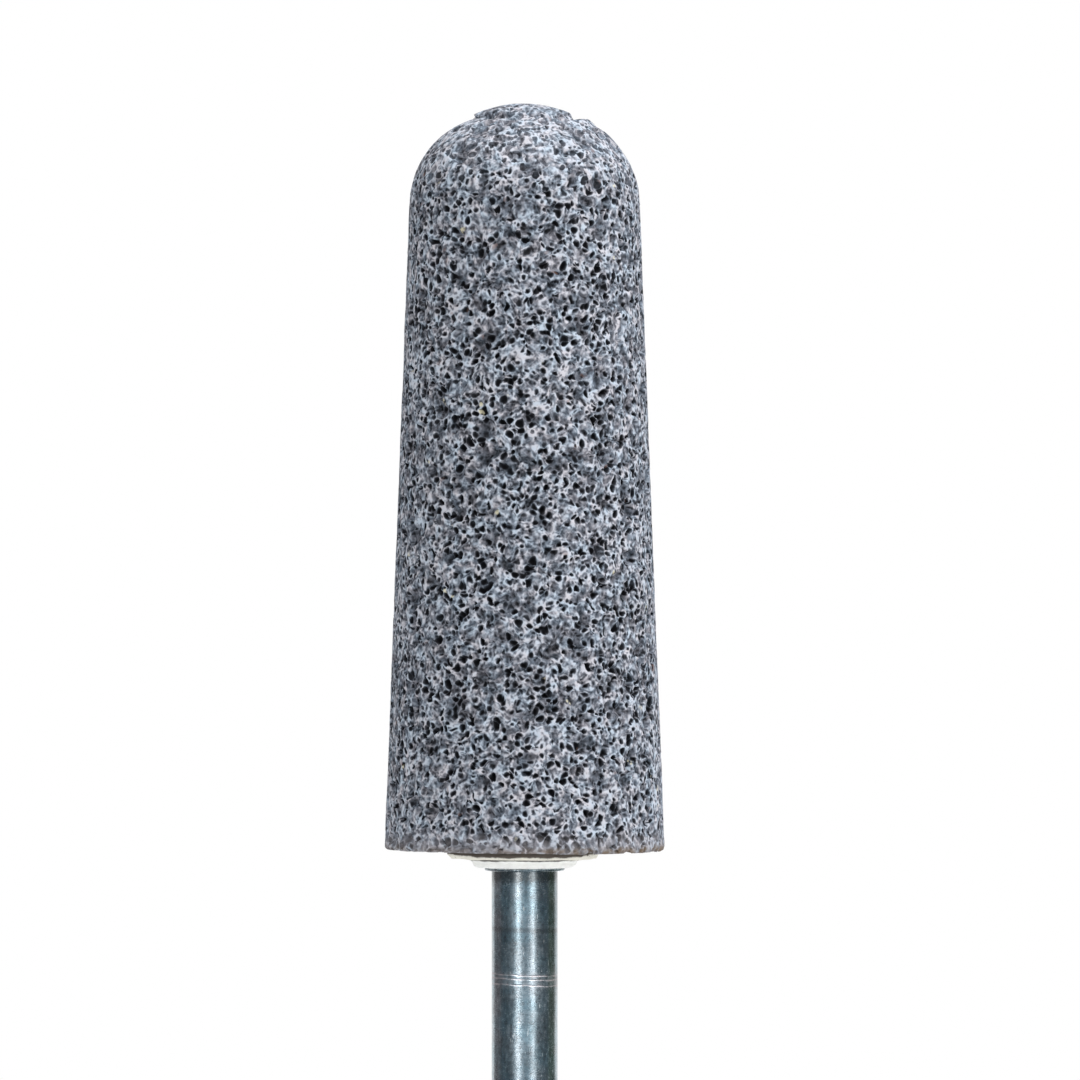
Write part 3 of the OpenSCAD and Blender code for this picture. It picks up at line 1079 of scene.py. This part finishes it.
class MESH_OT_mounted_point_stone(bpy.types.Operator):
    """Makes the porous stone"""

    bl_idname = "mesh.mounted_point_stone"
    bl_label = "Stone"

    def execute(self, context):
        s = context.scene.mounted_stone
        hand_over(stone_piece(s), "abrasive_stone", stone_finish(s))
        return {"FINISHED"}


class MESH_OT_mounted_point_collar(bpy.types.Operator):
    """Makes the fibre washer and the cement"""

    bl_idname = "mesh.mounted_point_collar"
    bl_label = "Washer and Cement"

    def execute(self, context):
        scene = context.scene
        s, c, k = scene.mounted_stone, scene.mounted_collar, scene.mounted_shank
        hand_over(washer_piece(c, s), "backing_washer", washer_finish(c, s))
        hand_over(cement_piece(c, k, s), "cement_bond", cement_finish(c))
        return {"FINISHED"}


class MESH_OT_mounted_point_shank(bpy.types.Operator):
    """Makes the steel shank"""

    bl_idname = "mesh.mounted_point_shank"
    bl_label = "Shank"

    def execute(self, context):
        scene = context.scene
        s, c, k = scene.mounted_stone, scene.mounted_collar, scene.mounted_shank
        hand_over(shank_piece(c, k, s), "shank", shank_finish(c, k, s))
        return {"FINISHED"}


class SCENE_OT_mounted_point_stage(bpy.types.Operator):
    """Sets the floor, the lights and the camera"""

    bl_idname = "scene.mounted_point_stage"
    bl_label = "Stage"

    def execute(self, context):
        scene, stage = context.scene, context.scene.mounted_stage
        floor = floor_piece()
        floor.data.materials.append(floor_finish(stage))
        white_world(stage.world)
        soft_box("key_light", 60.0, 40.0, (0.45, 0.45), stage.key_power, stage.height)
        soft_box("fill_light", -34.0, 32.0, (0.40, 0.40), stage.fill_power, stage.height)
        soft_box("top_light", 110.0, 80.0, (0.60, 0.60), stage.top_power, stage.height)
        soft_box("strip_light_left", -22.0, 18.0, (0.16, 0.60), stage.left_power, STRIP_AIM, True)
        soft_box("strip_light_right", 29.0, 18.0, (0.21, 0.60), stage.right_power, STRIP_AIM, True)
        dusk = stage.card
        dark_card("card_front", -40.0, 40.0, [3.0 * v for v in dusk])
        dark_card("card_left", -92.0, -40.0, dusk)
        dark_card("card_right", 40.0, 92.0, dusk)
        dark_card("card_far_left", -134.0, -92.0, FAR_LEFT_CARD)
        dark_card("card_far_right", 92.0, 132.0, FAR_RIGHT_CARD)
        photo_camera(scene, stage)
        scene.view_settings.view_transform = "Standard"
        return {"FINISHED"}


class VIEW3D_PT_mounted_point(bpy.types.Panel):
    """Lists the pieces and their settings"""

    bl_idname = "VIEW3D_PT_mounted_point"
    bl_label = "Mounted Point"
    bl_space_type = "VIEW_3D"
    bl_region_type = "UI"
    bl_category = "Mounted Point"

    def draw(self, context):
        for operator, group in PIECES:
            box = self.layout.box()
            box.operator(operator.bl_idname)
            settings = getattr(context.scene, group)
            for name in settings.__annotations__:
                box.prop(settings, name)


GROUPS = {
    "mounted_stone": StoneSettings,
    "mounted_collar": CollarSettings,
    "mounted_shank": ShankSettings,
    "mounted_stage": StageSettings,
}
PIECES = (
    (MESH_OT_mounted_point_stone, "mounted_stone"),
    (MESH_OT_mounted_point_collar, "mounted_collar"),
    (MESH_OT_mounted_point_shank, "mounted_shank"),
    (SCENE_OT_mounted_point_stage, "mounted_stage"),
)
CLASSES = (*GROUPS.values(), *(operator for operator, group in PIECES), VIEW3D_PT_mounted_point)


def register():
    for cls in CLASSES:
        bpy.utils.register_class(cls)
    for name, group in GROUPS.items():
        setattr(bpy.types.Scene, name, PointerProperty(type=group))


def unregister():
    for name in GROUPS:
        delattr(bpy.types.Scene, name)
    for cls in reversed(CLASSES):
        bpy.utils.unregister_class(cls)


def main():
    """Builds every piece and the stage."""
    register()
    bpy.ops.mesh.mounted_point_stone()
    bpy.ops.mesh.mounted_point_collar()
    bpy.ops.mesh.mounted_point_shank()
    bpy.ops.scene.mounted_point_stage()


if __name__ == "__main__":
    main()
